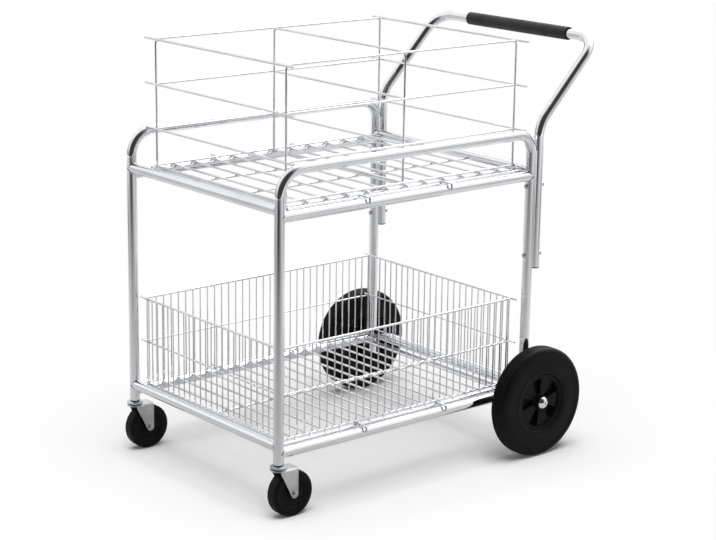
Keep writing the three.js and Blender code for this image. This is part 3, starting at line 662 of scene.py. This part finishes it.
for side in SIDES:
    for tube_end in ("leg", "handle"):
        show_end_disc(f"{side}_{tube_end}_plug", PLUG_FLANGE, PLUG_EDGE, ROUND_STEPS)
    for level in ("upper", "lower"):
        show_bolt(f"{side}_{level}_handle_bolt")
        show_nut(f"{side}_{level}_handle_nut")


# Wire baskets
def wire(bm, corners, bends, thickness):
    sides = THIN_WIRE_SIDES if thickness < FILE_WIRE else WIRE_SIDES
    rod(bm, corners, bends, thickness / 2, sides, WIRE_BEND_STEPS)


def spread(first, last, count):
    return [first + (last - first) * step / (count - 1) for step in range(count)]


def show_floor(node, count, inner_bars):
    """Cross wires over long bars, with hooks from the edge bars that turn down over the side rails."""
    low, high = box_of(node)
    bm = bmesh.new()
    wire_height = high.z - FLOOR_WIRE / 2
    edge_height = wire_height - FLOOR_WIRE / 2 - EDGE_BAR / 2
    edge_out = LEG_OUT - EDGE_BAR_SET
    inner_height = wire_height - FLOOR_WIRE
    for place in spread(low.x + FLOOR_WIRE / 2, high.x - FLOOR_WIRE / 2, count):
        wire(bm, ((place, -edge_out, wire_height), (place, edge_out, wire_height)), (), FLOOR_WIRE)
    for out in inner_bars:
        wire(bm, ((low.x, out, inner_height), (high.x, out, inner_height)), (), FLOOR_WIRE)
    front_hook = LEG_FRONT + HOOK_SETBACK
    tip = high.z - HOOK_DROP
    for side in (-1, 1):
        edge = side * edge_out
        outside = side * (high.y - FLOOR_WIRE / 2)
        wire(bm, ((low.x, edge, edge_height), (high.x, edge, edge_height)), (), EDGE_BAR)
        for place in (front_hook, front_hook + HOOK_SPACING):
            corners = ((place, edge, wire_height), (place, outside, wire_height), (place, outside, tip))
            wire(bm, corners, (HOOK_BEND,), FLOOR_WIRE)
    show(bm, node)


def file_levels(node):
    low, high = box_of(node)
    rim = high.z - FILE_RIM_WIRE / 2
    return rim, (rim - FILE_STEP, rim - 2 * FILE_STEP, low.z + FILE_WIRE / 2)


def show_file_end(node):
    """An end panel: the rim and the middle wires stand past the corners."""
    low, high = box_of(node)
    inner = abs(middle_of("file_basket_left").y)
    rim, lower = file_levels(node)
    place = (low.x + high.x) / 2
    bm = bmesh.new()
    wire(bm, ((place, low.y, rim), (place, high.y, rim)), (), FILE_RIM_WIRE)
    for height in lower[:2]:
        wire(bm, ((place, low.y, height), (place, high.y, height)), (), FILE_WIRE)
    wire(bm, ((place, -inner, lower[2]), (place, inner, lower[2])), (), FILE_WIRE)
    show(bm, node)


def show_file_frame(node, first, last):
    """A side panel or the divider: the rim wire turns down at both ends, with straight wires across."""
    foot = box_of(node)[0].z
    rim, lower = file_levels(node)
    bm = bmesh.new()
    corners = ((*first, foot), (*first, rim), (*last, rim), (*last, foot))
    wire(bm, corners, (FILE_CORNER, FILE_CORNER), FILE_WIRE)
    for height in lower:
        wire(bm, ((*first, height), (*last, height)), (), FILE_WIRE)
    show(bm, node)


def show_file_basket():
    for end in ("front", "rear"):
        show_file_end(f"file_basket_{end}")
    for side in SIDES:
        node = f"file_basket_{side}"
        low, high = box_of(node)
        place = (low.y + high.y) / 2
        show_file_frame(node, (low.x + FILE_WIRE / 2, place), (high.x - FILE_WIRE / 2, place))
    low, high = box_of("file_basket_divider")
    place = (low.x + high.x) / 2
    first = (place, low.y + FILE_WIRE / 2)
    last = (place, high.y - FILE_WIRE / 2)
    show_file_frame("file_basket_divider", first, last)
    side_bar = middle_of("file_basket_right").y
    bars = (-side_bar, -INNER_BAR_SET, INNER_BAR_SET, side_bar)
    show_floor("file_basket_floor", FILE_FLOOR_WIRES, bars)


def show_lower_panel(node, inner, outer, first, last, inside, count):
    """A close-wired panel: thin uprights on the inner side of a rim, two middle wires and a foot wire."""
    low, high = box_of(node)
    rim = high.z - LOWER_RIM_WIRE / 2
    heights = (
        (rim, LOWER_RIM_WIRE, outer),
        (rim - LOWER_STEP, LOWER_MID_WIRE, outer),
        (low.z + LOWER_MID_WIRE / 2, LOWER_MID_WIRE, inner),
    )
    bm = bmesh.new()
    run = (last - first).normalized()
    for height, thickness, reach in heights:
        back = -inside * (thickness / 2)
        start = first - run * reach + back
        end = last + run * reach + back
        wire(bm, ((start.x, start.y, height), (end.x, end.y, height)), (), thickness)
    back = inside * (LOWER_WIRE / 2)
    for step in range(count):
        place = first.lerp(last, step / (count - 1)) + back
        wire(bm, ((place.x, place.y, low.z), (place.x, place.y, rim)), (), LOWER_WIRE)
    show(bm, node)


def show_lower_basket():
    side_out = abs(middle_of("lower_basket_left").y)
    for end, inside in (("front", Vector((1, 0, 0))), ("rear", Vector((-1, 0, 0)))):
        node = f"lower_basket_{end}"
        low, high = box_of(node)
        place = (low.x + high.x) / 2
        first = Vector((place, -side_out, 0))
        last = Vector((place, side_out, 0))
        reach = high.y - side_out
        show_lower_panel(node, 0.0, reach, first, last, inside, LOWER_END_WIRES)
    for side, inside in zip(SIDES, (Vector((0, 1, 0)), Vector((0, -1, 0)))):
        node = f"lower_basket_{side}"
        low, high = box_of(node)
        place = (low.y + high.y) / 2
        first = Vector((low.x + LOWER_WIRE, place, 0))
        last = Vector((high.x - LOWER_WIRE, place, 0))
        show_lower_panel(node, LOWER_WIRE, LOWER_WIRE, first, last, inside, LOWER_SIDE_WIRES)
    show_floor("lower_basket_floor", LOWER_FLOOR_WIRES, (0.0,))


show_file_basket()
show_lower_basket()


# Rear wheels
def mirrored(half):
    """A closed outline from its upper half, which starts at the inside and ends outside."""
    return half + [(radius, -height) for radius, height in reversed(half)]


def tyre_outline(outer, bead, half, bead_half):
    wall = half - WALL_RIB
    crown = outer - TYRE_ROUND
    outline = [(bead, bead_half), (bead + BEAD_LIP, bead_half + BEAD_LIP_RISE)]
    hollow = (bead + WALL_ROUND_SET, wall - WALL_ROUND)
    outline += arc(hollow, WALL_ROUND, WALL_ROUND_START, math.pi / 2, WALL_ROUND_STEPS)
    for rib in (bead + INNER_RIB_SET, *[crown - reach for reach in OUTER_RIB_SETS]):
        outline += [(rib, wall), (rib + RIB_SLOPE, half)]
        outline += [(rib + RIB_WIDTH - RIB_SLOPE, half), (rib + RIB_WIDTH, wall)]
    outline += arc((crown, wall - TYRE_ROUND), TYRE_ROUND, math.pi / 2, 0, TYRE_ROUND_STEPS)
    for groove in reversed(TREAD_GROOVES):
        outline += [
            (outer, groove + GROOVE_WIDTH / 2),
            (outer - GROOVE_DEPTH, groove + GROOVE_FLOOR / 2),
            (outer - GROOVE_DEPTH, groove - GROOVE_FLOOR / 2),
            (outer, groove - GROOVE_WIDTH / 2),
        ]
    return outline


def show_rear_tyre(node):
    centre, outer, half = wheel_size(node)
    bead = wheel_size(node.replace("tyre", "hub"))[1]
    outline = tyre_outline(outer, bead, half, RIM_DEPTH)
    show(lay(turned(mirrored(outline), WHEEL_STEPS), centre, (0, 1, 0)), node)


def press_pockets(bm, face_side):
    """Presses the five wedge-shaped pockets into one face of the hub."""
    chosen = []
    for face in bm.faces:
        middle = face.calc_center_median()
        reach = math.hypot(middle.x, middle.y)
        turn = math.atan2(middle.y, -middle.x) - POCKET_TURN
        off_pocket = abs(math.remainder(turn, math.tau / POCKETS))
        flat = face.normal.z * face_side > POCKET_FACING
        if flat and POCKET_IN < reach < POCKET_OUT and off_pocket < POCKET_ANGLE / 2:
            chosen.append(face)
    bmesh.ops.inset_region(
        bm,
        faces=chosen,
        thickness=POCKET_DRAFT,
        depth=POCKET_FLOOR - SPOKE_FACE,
        use_even_offset=True,
        use_boundary=True,
    )


def show_rear_hub(node):
    centre, outer, half = wheel_size(node)
    bore = box_of(node.replace("hub", "bush"))[1].z - centre.z + GAP
    rim_in = outer - RIM_WALL
    step_up = SPOKE_FACE + HUB_STEP
    outline = [(bore, half), (BOSS_RADIUS - HUB_STEP, half), (BOSS_RADIUS, step_up)]
    outline += [(BOSS_RADIUS + HUB_STEP, SPOKE_FACE)]
    outline += [(reach, SPOKE_FACE) for reach in spread(POCKET_IN, POCKET_OUT, WEB_RINGS)]
    outline += [(rim_in - HUB_STEP, SPOKE_FACE), (rim_in, step_up), (rim_in, RIM_DEPTH), (outer, RIM_DEPTH)]
    bm = turned(mirrored(outline), HUB_STEPS)
    press_pockets(bm, 1)
    press_pockets(bm, -1)
    show(lay(soften(bm, EDGE / 2), centre, (0, 1, 0)), node)


def show_ring(node, bore):
    centre, outer, half = wheel_size(node)
    outline = mirrored([(bore, half), (outer, half)])
    show(soften(lay(turned(outline), centre, (0, 1, 0)), EDGE), node)


def show_axle_cap(node, out):
    low, high = box_of(node)
    centre = (low + high) / 2
    radius = (high.z - low.z) / 2
    height = high.y - low.y
    rise = height - CAP_LIP
    dome = (radius * radius + rise * rise) / (2 * rise)
    lean = math.asin(radius / dome)
    dimple_lean = math.asin(CAP_DIMPLE / dome)
    outline = [(0, 0), (radius, 0)]
    outline += arc((0, height - dome), dome, math.pi / 2 - lean, math.pi / 2 - dimple_lean, DOME_STEPS)
    outline += [(CAP_DIMPLE, height - CAP_DIMPLE_DEPTH), (0, height - CAP_DIMPLE_DEPTH)]
    inner_face = low.y if out > 0 else high.y
    show(soften(lay(turned(outline), (centre.x, inner_face, centre.z), (0, out, 0)), EDGE / 2), node)


axle_bore = wheel_size("rear_axle")[1] + GAP
show_ring("rear_axle", 0)
for side, out in zip(SIDES, (-1, 1)):
    show_rear_tyre(f"{side}_rear_tyre")
    show_rear_hub(f"{side}_rear_hub")
    show_axle_cap(f"{side}_axle_cap", out)
    show_ring(f"{side}_axle_spacer", axle_bore)
    show_ring(f"{side}_rear_bush", axle_bore)


# Casters
def show_caster_tyre(node):
    centre, outer, half = wheel_size(node)
    bead = wheel_size(node.replace("tyre", "hub"))[1]
    lip = bead + CASTER_LIP_WIDTH
    outline = [(bead, half - CASTER_LIP), (lip, half - CASTER_LIP), (lip + CASTER_LIP, half)]
    shoulder = (outer - CASTER_ROUND, half - CASTER_ROUND)
    outline += arc(shoulder, CASTER_ROUND, math.pi / 2, 0, CASTER_ROUND_STEPS)
    show(soften(lay(turned(mirrored(outline), WHEEL_STEPS), centre, (0, 1, 0)), EDGE), node)


def show_caster_hub(node):
    centre, outer, half = wheel_size(node)
    bore = (box_of(node.replace("hub", "axle"))[1].z - centre.z) / 2 + GAP
    boss = outer * CASTER_BOSS_SHARE
    rim_in = outer - CASTER_RIM
    rim_face = half - CASTER_RIM_SET
    dish = half - CASTER_DISH
    outline = [(bore, half), (boss, half), (boss + CASTER_BOSS_SLOPE, dish)]
    outline += [(rim_in - CASTER_RIM_SLOPE, dish), (rim_in, rim_face), (outer, rim_face)]
    show(soften(lay(turned(mirrored(outline), WHEEL_STEPS), centre, (0, 1, 0)), EDGE), node)


def show_caster_axle(node):
    """A riveted axle with a domed head at both ends."""
    centre, head, half = wheel_size(node)
    seat = wheel_size(node.replace("axle", "fork"))[2]
    rise = half - seat
    upper = [(0, half), (head * RIVET_FLAT_SHARE, half)]
    upper += [(head * RIVET_ROUND_SHARE, half - rise * RIVET_FALL_SHARE), (head, seat), (head / 2, seat)]
    show(soften(lay(turned(mirrored(upper)), centre, (0, 1, 0)), EDGE, ROUND_STEPS), node)


def fork_leg(front, rear, axle, hip):
    """The outline of one leg as (place along, height): slanted in front and round at the axle."""
    run = axle.x - front
    fall = hip - FORK_SHOULDER - axle.z
    tangent = math.atan2(fall, -run) + math.acos(FORK_FOOT / math.hypot(run, fall))
    foot = arc((axle.x, axle.z), FORK_FOOT, tangent, math.tau, FOOT_STEPS)
    return [(front, hip), (front, hip - FORK_SHOULDER)] + foot + [(rear, hip)]


def show_fork(node):
    """One bent plate: two legs that hang from a flat top, which is notched for the stem."""
    low, high = box_of(node)
    axle = middle_of(node.replace("fork", "axle"))
    stem = middle_of(node.replace("fork", "stem"))
    half = (high.y - low.y) / 2 - FORK_PLATE / 2
    hip = high.z - CROWN_RISE - FORK_PLATE / 2 - FORK_BEND
    bm = bmesh.new()
    notch = stem.x + STEM_PIN + GAP
    outline = fork_leg(stem.x - FORK_LEG_FRONT, high.x, axle, hip) + [(notch, hip)]
    verts = [bm.verts.new((place, -half, height)) for place, height in outline]
    leg = bmesh.ops.contextual_create(bm, geom=verts)["faces"]
    edges = [edge for edge in leg[0].edges if all(abs(vert.co.z - hip) < GAP for vert in edge.verts)]
    bend = bmesh.ops.spin(
        bm,
        geom=edges,
        cent=(0, FORK_BEND - half, hip),
        axis=(1, 0, 0),
        angle=-math.pi / 2,
        steps=WIRE_BEND_STEPS,
    )
    beside_stem = half - FORK_BEND - STEM_PIN - GAP
    edges = push(bm, edges_of(bend["geom_last"]), (0, beside_stem, 0))
    behind_stem = [edge for edge in edges if max(vert.co.x for vert in edge.verts) > notch + GAP]
    push(bm, behind_stem, (0, STEM_PIN + GAP, 0))
    bmesh.ops.mirror(bm, geom=bm.verts[:] + bm.edges[:] + bm.faces[:], merge_dist=GAP, axis="Y")
    bmesh.ops.remove_doubles(bm, verts=bm.verts, dist=MERGE)
    bmesh.ops.recalc_face_normals(bm, faces=bm.faces)
    bmesh.ops.translate(bm, verts=bm.verts, vec=(0, stem.y, 0))
    piece = show(bm, node)
    wall = piece.modifiers.new("plate", "SOLIDIFY")
    wall.thickness = FORK_PLATE
    wall.offset = 0
    edge = piece.modifiers.new("edge", "BEVEL")
    edge.width = EDGE
    edge.segments = EDGE_STEPS
    edge.limit_method = "ANGLE"
    edge.angle_limit = PLATE_SHARP


def show_fork_crown(node):
    """The round top of the fork, which carries the race."""
    low, high = box_of(node)
    stem = middle_of(node.replace("fork", "stem"))
    radius = (high.y - low.y) / 2
    hole = STEM_PIN + GAP
    outline = [(hole, high.z - FORK_CROWN), (radius, high.z - FORK_CROWN)]
    outline += arc((radius - CROWN_EDGE, high.z - CROWN_EDGE), CROWN_EDGE, 0, math.pi / 2, EDGE_STEPS)
    outline += [(hole, high.z)]
    show(lay(turned(outline), (stem.x, stem.y, 0)), node, node + "_crown")


def show_stem(node):
    low, high = box_of(node)
    centre = (low + high) / 2
    cup = (high.y - low.y) / 2
    cup_low = box_of(node.replace("stem", "race"))[1].z + GAP
    head_top = low.z + STEM_HEAD_HEIGHT
    cup_top = cup_low + CUP_HEIGHT
    outline = [(0, low.z), (STEM_HEAD, low.z), (STEM_HEAD, head_top), (STEM_PIN, head_top)]
    outline += [(STEM_PIN, cup_low), (cup, cup_low), (cup, cup_top - CUP_CHAMFER)]
    outline += [(cup - CUP_SLOPE, cup_top), (STEM_PIN, cup_top), (STEM_PIN, high.z), (0, high.z)]
    show(soften(lay(turned(outline), (centre.x, centre.y, 0)), EDGE), node)


def show_race(node):
    """A cage ring with its row of balls."""
    low, high = box_of(node)
    centre = (low + high) / 2
    outer = (high.y - low.y) / 2
    height = high.z - low.z
    track = outer - height / 2
    cage = height * CAGE_HEIGHT_SHARE
    bm = turned(mirrored([(track - CAGE_IN, cage), (track + CAGE_OUT, cage)]))
    for step in range(BALLS):
        turn = math.tau * step / BALLS
        place = Matrix.Translation((track * math.cos(turn), track * math.sin(turn), 0))
        bmesh.ops.create_icosphere(bm, subdivisions=BALL_ROUNDS, radius=height / 2, matrix=place)
    show(lay(bm, centre), node)


for side in SIDES:
    show_caster_tyre(f"{side}_caster_tyre")
    show_caster_hub(f"{side}_caster_hub")
    show_caster_axle(f"{side}_caster_axle")
    show_fork(f"{side}_caster_fork")
    show_fork_crown(f"{side}_caster_fork")
    show_stem(f"{side}_caster_stem")
    show_race(f"{side}_caster_race")
    show_end_disc(f"{side}_caster_socket", SOCKET_FLANGE, EDGE, EDGE_STEPS)


# Floor, light and camera
FLOOR_NEAR = 5.5
FLOOR_FAR = 16.0
FLOOR_HALF = 9.0
FLOOR_COLOUR = 0.88
FLOOR_LIFT = 0.05
FILL_LIGHT = 0.22
SUN_POWER = 2.72
SUN_SOFT = math.radians(50)
SUN_TILT = (math.radians(8), math.radians(-6), 0)

# What the chrome mirrors: painted reflection shade on the floor and a darker room towards the camera, and a
# little on the other sides
DARK_FLOOR = 0.02
DARK_FLOOR_AHEAD = 3.6
DARK_FLOOR_ASIDE = 0.9
DARK_FLOOR_REACH = 0.4
PALE_FLOOR_REACH = 5.6
GREY_FLOOR = 0.30
GREY_FLOOR_AWAY = 3.0
GREY_FLOOR_REACH = 0.3
GREY_FLOOR_END = 2.4
DARK_ROOM = 0.05
DARK_ROOM_RISE = math.radians(20)
DARK_ROOM_EDGE = (0.25, 0.75)
HORIZON = 0.35
HORIZON_RISE = 0.30
SOFTBOX_LIGHT = 1.8
SOFTBOX_ASIDE = math.radians(30)
SOFTBOX_RISE = math.radians(50)
SOFTBOX_EDGE = (0.78, 0.92)

CAMERA_PLACE = Vector((LEG_FRONT - CAMERA_AHEAD, CAMERA_ASIDE, CAMERA_HEIGHT))
view_dir = Vector((-math.sin(CAMERA_YAW), math.cos(CAMERA_YAW), 0))
view_side = Vector((math.cos(CAMERA_YAW), math.sin(CAMERA_YAW), 0))


def vector_math(tree, operation, vector, other):
    node = tree.nodes.new("ShaderNodeVectorMath")
    node.operation = operation
    node.inputs[1].default_value = other
    tree.links.new(vector, node.inputs[0])
    return node.outputs["Value"]


def darker(tree, first, second):
    node = tree.nodes.new("ShaderNodeMath")
    node.operation = "MINIMUM"
    tree.links.new(first, node.inputs[0])
    tree.links.new(second, node.inputs[1])
    return node.outputs["Value"]


def reflected_floor_shade(tree, place, middle, tone, reach, end):
    """A grey or dark place painted into the floor's colour for reflections only, turning white towards its
    end: painted reflection shade.
    """
    node = tree.nodes.new("ShaderNodeMapRange")
    node.inputs["From Min"].default_value = reach
    node.inputs["From Max"].default_value = end
    node.inputs["To Min"].default_value = tone
    tree.links.new(vector_math(tree, "DISTANCE", place, middle), node.inputs["Value"])
    return node.outputs["Result"]


def floor_finish():
    """White, with a lift where the camera sees it. Mirrored in the chrome, it is painted darker towards the
    camera: painted reflection shade that only glossy rays see.
    """
    white, tree, shader = new_finish("white_floor")
    shader.inputs["Roughness"].default_value = 1.0
    shader.inputs["Specular IOR Level"].default_value = 0.0
    shader.inputs["Emission Color"].default_value = (1, 1, 1, 1)
    path = tree.nodes.new("ShaderNodeLightPath")
    place = tree.nodes.new("ShaderNodeTexCoord").outputs["Object"]
    darkest = -view_dir * DARK_FLOOR_AHEAD - view_side * DARK_FLOOR_ASIDE
    tone = reflected_floor_shade(tree, place, darkest, DARK_FLOOR, DARK_FLOOR_REACH, PALE_FLOOR_REACH)
    for side in (view_dir, view_side, -view_side):
        grey = reflected_floor_shade(tree, place, side * GREY_FLOOR_AWAY, GREY_FLOOR, GREY_FLOOR_REACH, GREY_FLOOR_END)
        tone = darker(tree, tone, grey)
    # Painted reflection shade: glossy rays see the floor in these darker tones, all other rays see it white
    mix = tree.nodes.new("ShaderNodeMix")
    mix.data_type = "RGBA"
    mix.inputs["A"].default_value = (FLOOR_COLOUR, FLOOR_COLOUR, FLOOR_COLOUR, 1)
    tree.links.new(tone, mix.inputs["B"])
    tree.links.new(path.outputs["Is Glossy Ray"], mix.inputs["Factor"])
    tree.links.new(mix.outputs["Result"], shader.inputs["Base Color"])
    lift = tree.nodes.new("ShaderNodeMath")
    lift.operation = "MULTIPLY"
    lift.inputs[1].default_value = FLOOR_LIFT
    tree.links.new(path.outputs["Is Camera Ray"], lift.inputs[0])
    tree.links.new(lift.outputs["Value"], shader.inputs["Emission Strength"])
    return white


def make_floor():
    bm = bmesh.new()
    bmesh.ops.create_grid(bm, x_segments=1, y_segments=1, size=1.0)
    bmesh.ops.scale(bm, verts=bm.verts, vec=(FLOOR_HALF, (FLOOR_FAR + FLOOR_NEAR) / 2, 1))
    bmesh.ops.translate(bm, verts=bm.verts, vec=(0, (FLOOR_FAR - FLOOR_NEAR) / 2, 0))
    bmesh.ops.rotate(bm, verts=bm.verts, matrix=Matrix.Rotation(CAMERA_YAW, 3, "Z"))
    mesh = bpy.data.meshes.new("floor")
    bm.to_mesh(mesh)
    bm.free()
    floor = bpy.data.objects.new("floor", mesh)
    bpy.context.scene.collection.objects.link(floor)
    mesh.materials.append(floor_finish())


def backdrop(tree, strength):
    node = tree.nodes.new("ShaderNodeBackground")
    node.inputs["Color"].default_value = (1, 1, 1, 1)
    node.inputs["Strength"].default_value = strength
    return node


def choose(tree, factor, first, second):
    node = tree.nodes.new("ShaderNodeMixShader")
    tree.links.new(factor, node.inputs["Fac"])
    tree.links.new(first, node.inputs[1])
    tree.links.new(second, node.inputs[2])
    return node.outputs["Shader"]


def make_studio():
    """White all round, as the camera sees it. The chrome mirrors a dark side, a grey horizon and a lamp."""
    world = bpy.data.worlds.new("studio")
    bpy.context.scene.world = world
    world.use_nodes = True
    tree = world.node_tree
    tree.nodes.clear()
    path = tree.nodes.new("ShaderNodeLightPath")
    direction = tree.nodes.new("ShaderNodeTexCoord").outputs["Generated"]
    darkest = Vector((0, 0, math.sin(DARK_ROOM_RISE))) - view_dir * math.cos(DARK_ROOM_RISE)
    near = ramp(tree, vector_math(tree, "DOT_PRODUCT", direction, darkest), *DARK_ROOM_EDGE)
    tone = tree.nodes.new("ShaderNodeMapRange")
    tone.inputs["To Min"].default_value = 1.0
    tone.inputs["To Max"].default_value = DARK_ROOM
    tree.links.new(near, tone.inputs["Value"])
    horizon = tree.nodes.new("ShaderNodeMapRange")
    horizon.inputs["From Max"].default_value = HORIZON_RISE
    horizon.inputs["To Min"].default_value = HORIZON
    tree.links.new(vector_math(tree, "DOT_PRODUCT", direction, (0, 0, 1)), horizon.inputs["Value"])
    dark = darker(tree, tone.outputs["Result"], horizon.outputs["Result"])
    across = view_dir * math.cos(SOFTBOX_ASIDE) + view_side * math.sin(SOFTBOX_ASIDE)
    brightest = Vector((0, 0, math.sin(SOFTBOX_RISE))) + across * math.cos(SOFTBOX_RISE)
    softbox = ramp(tree, vector_math(tree, "DOT_PRODUCT", direction, brightest), *SOFTBOX_EDGE)
    total = tree.nodes.new("ShaderNodeMath")
    total.operation = "MULTIPLY_ADD"
    total.inputs[1].default_value = SOFTBOX_LIGHT
    tree.links.new(softbox, total.inputs[0])
    tree.links.new(dark, total.inputs[2])
    room = backdrop(tree, 1.0)
    tree.links.new(total.outputs["Value"], room.inputs["Strength"])
    fill = backdrop(tree, FILL_LIGHT)
    seen = backdrop(tree, 1.0)
    lit = choose(tree, path.outputs["Is Glossy Ray"], fill.outputs["Background"], room.outputs["Background"])
    shown = choose(tree, path.outputs["Is Camera Ray"], lit, seen.outputs["Background"])
    out = tree.nodes.new("ShaderNodeOutputWorld")
    tree.links.new(shown, out.inputs["Surface"])


def make_sun():
    light = bpy.data.lights.new("overhead", "SUN")
    light.energy = SUN_POWER
    light.angle = SUN_SOFT
    sun = bpy.data.objects.new("overhead", light)
    sun.rotation_euler = SUN_TILT
    sun.visible_glossy = False
    bpy.context.scene.collection.objects.link(sun)


def make_camera():
    ahead = view_dir * math.cos(CAMERA_DOWN) - Vector((0, 0, math.sin(CAMERA_DOWN)))
    up = view_side.cross(ahead)
    across = view_side * math.cos(CAMERA_ROLL) + up * math.sin(CAMERA_ROLL)
    above = up * math.cos(CAMERA_ROLL) - view_side * math.sin(CAMERA_ROLL)
    turn = Matrix((across, above, -ahead)).transposed().to_4x4()
    lens = bpy.data.cameras.new("camera")
    lens.sensor_width = CAMERA_SENSOR
    lens.lens = CAMERA_LENS
    lens.clip_end = CAMERA_END
    camera = bpy.data.objects.new("camera", lens)
    camera.matrix_world = Matrix.Translation(CAMERA_PLACE) @ turn
    bpy.context.scene.collection.objects.link(camera)
    bpy.context.scene.camera = camera


make_floor()
make_studio()
make_sun()
make_camera()
bpy.context.scene.view_settings.view_transform = "Standard"
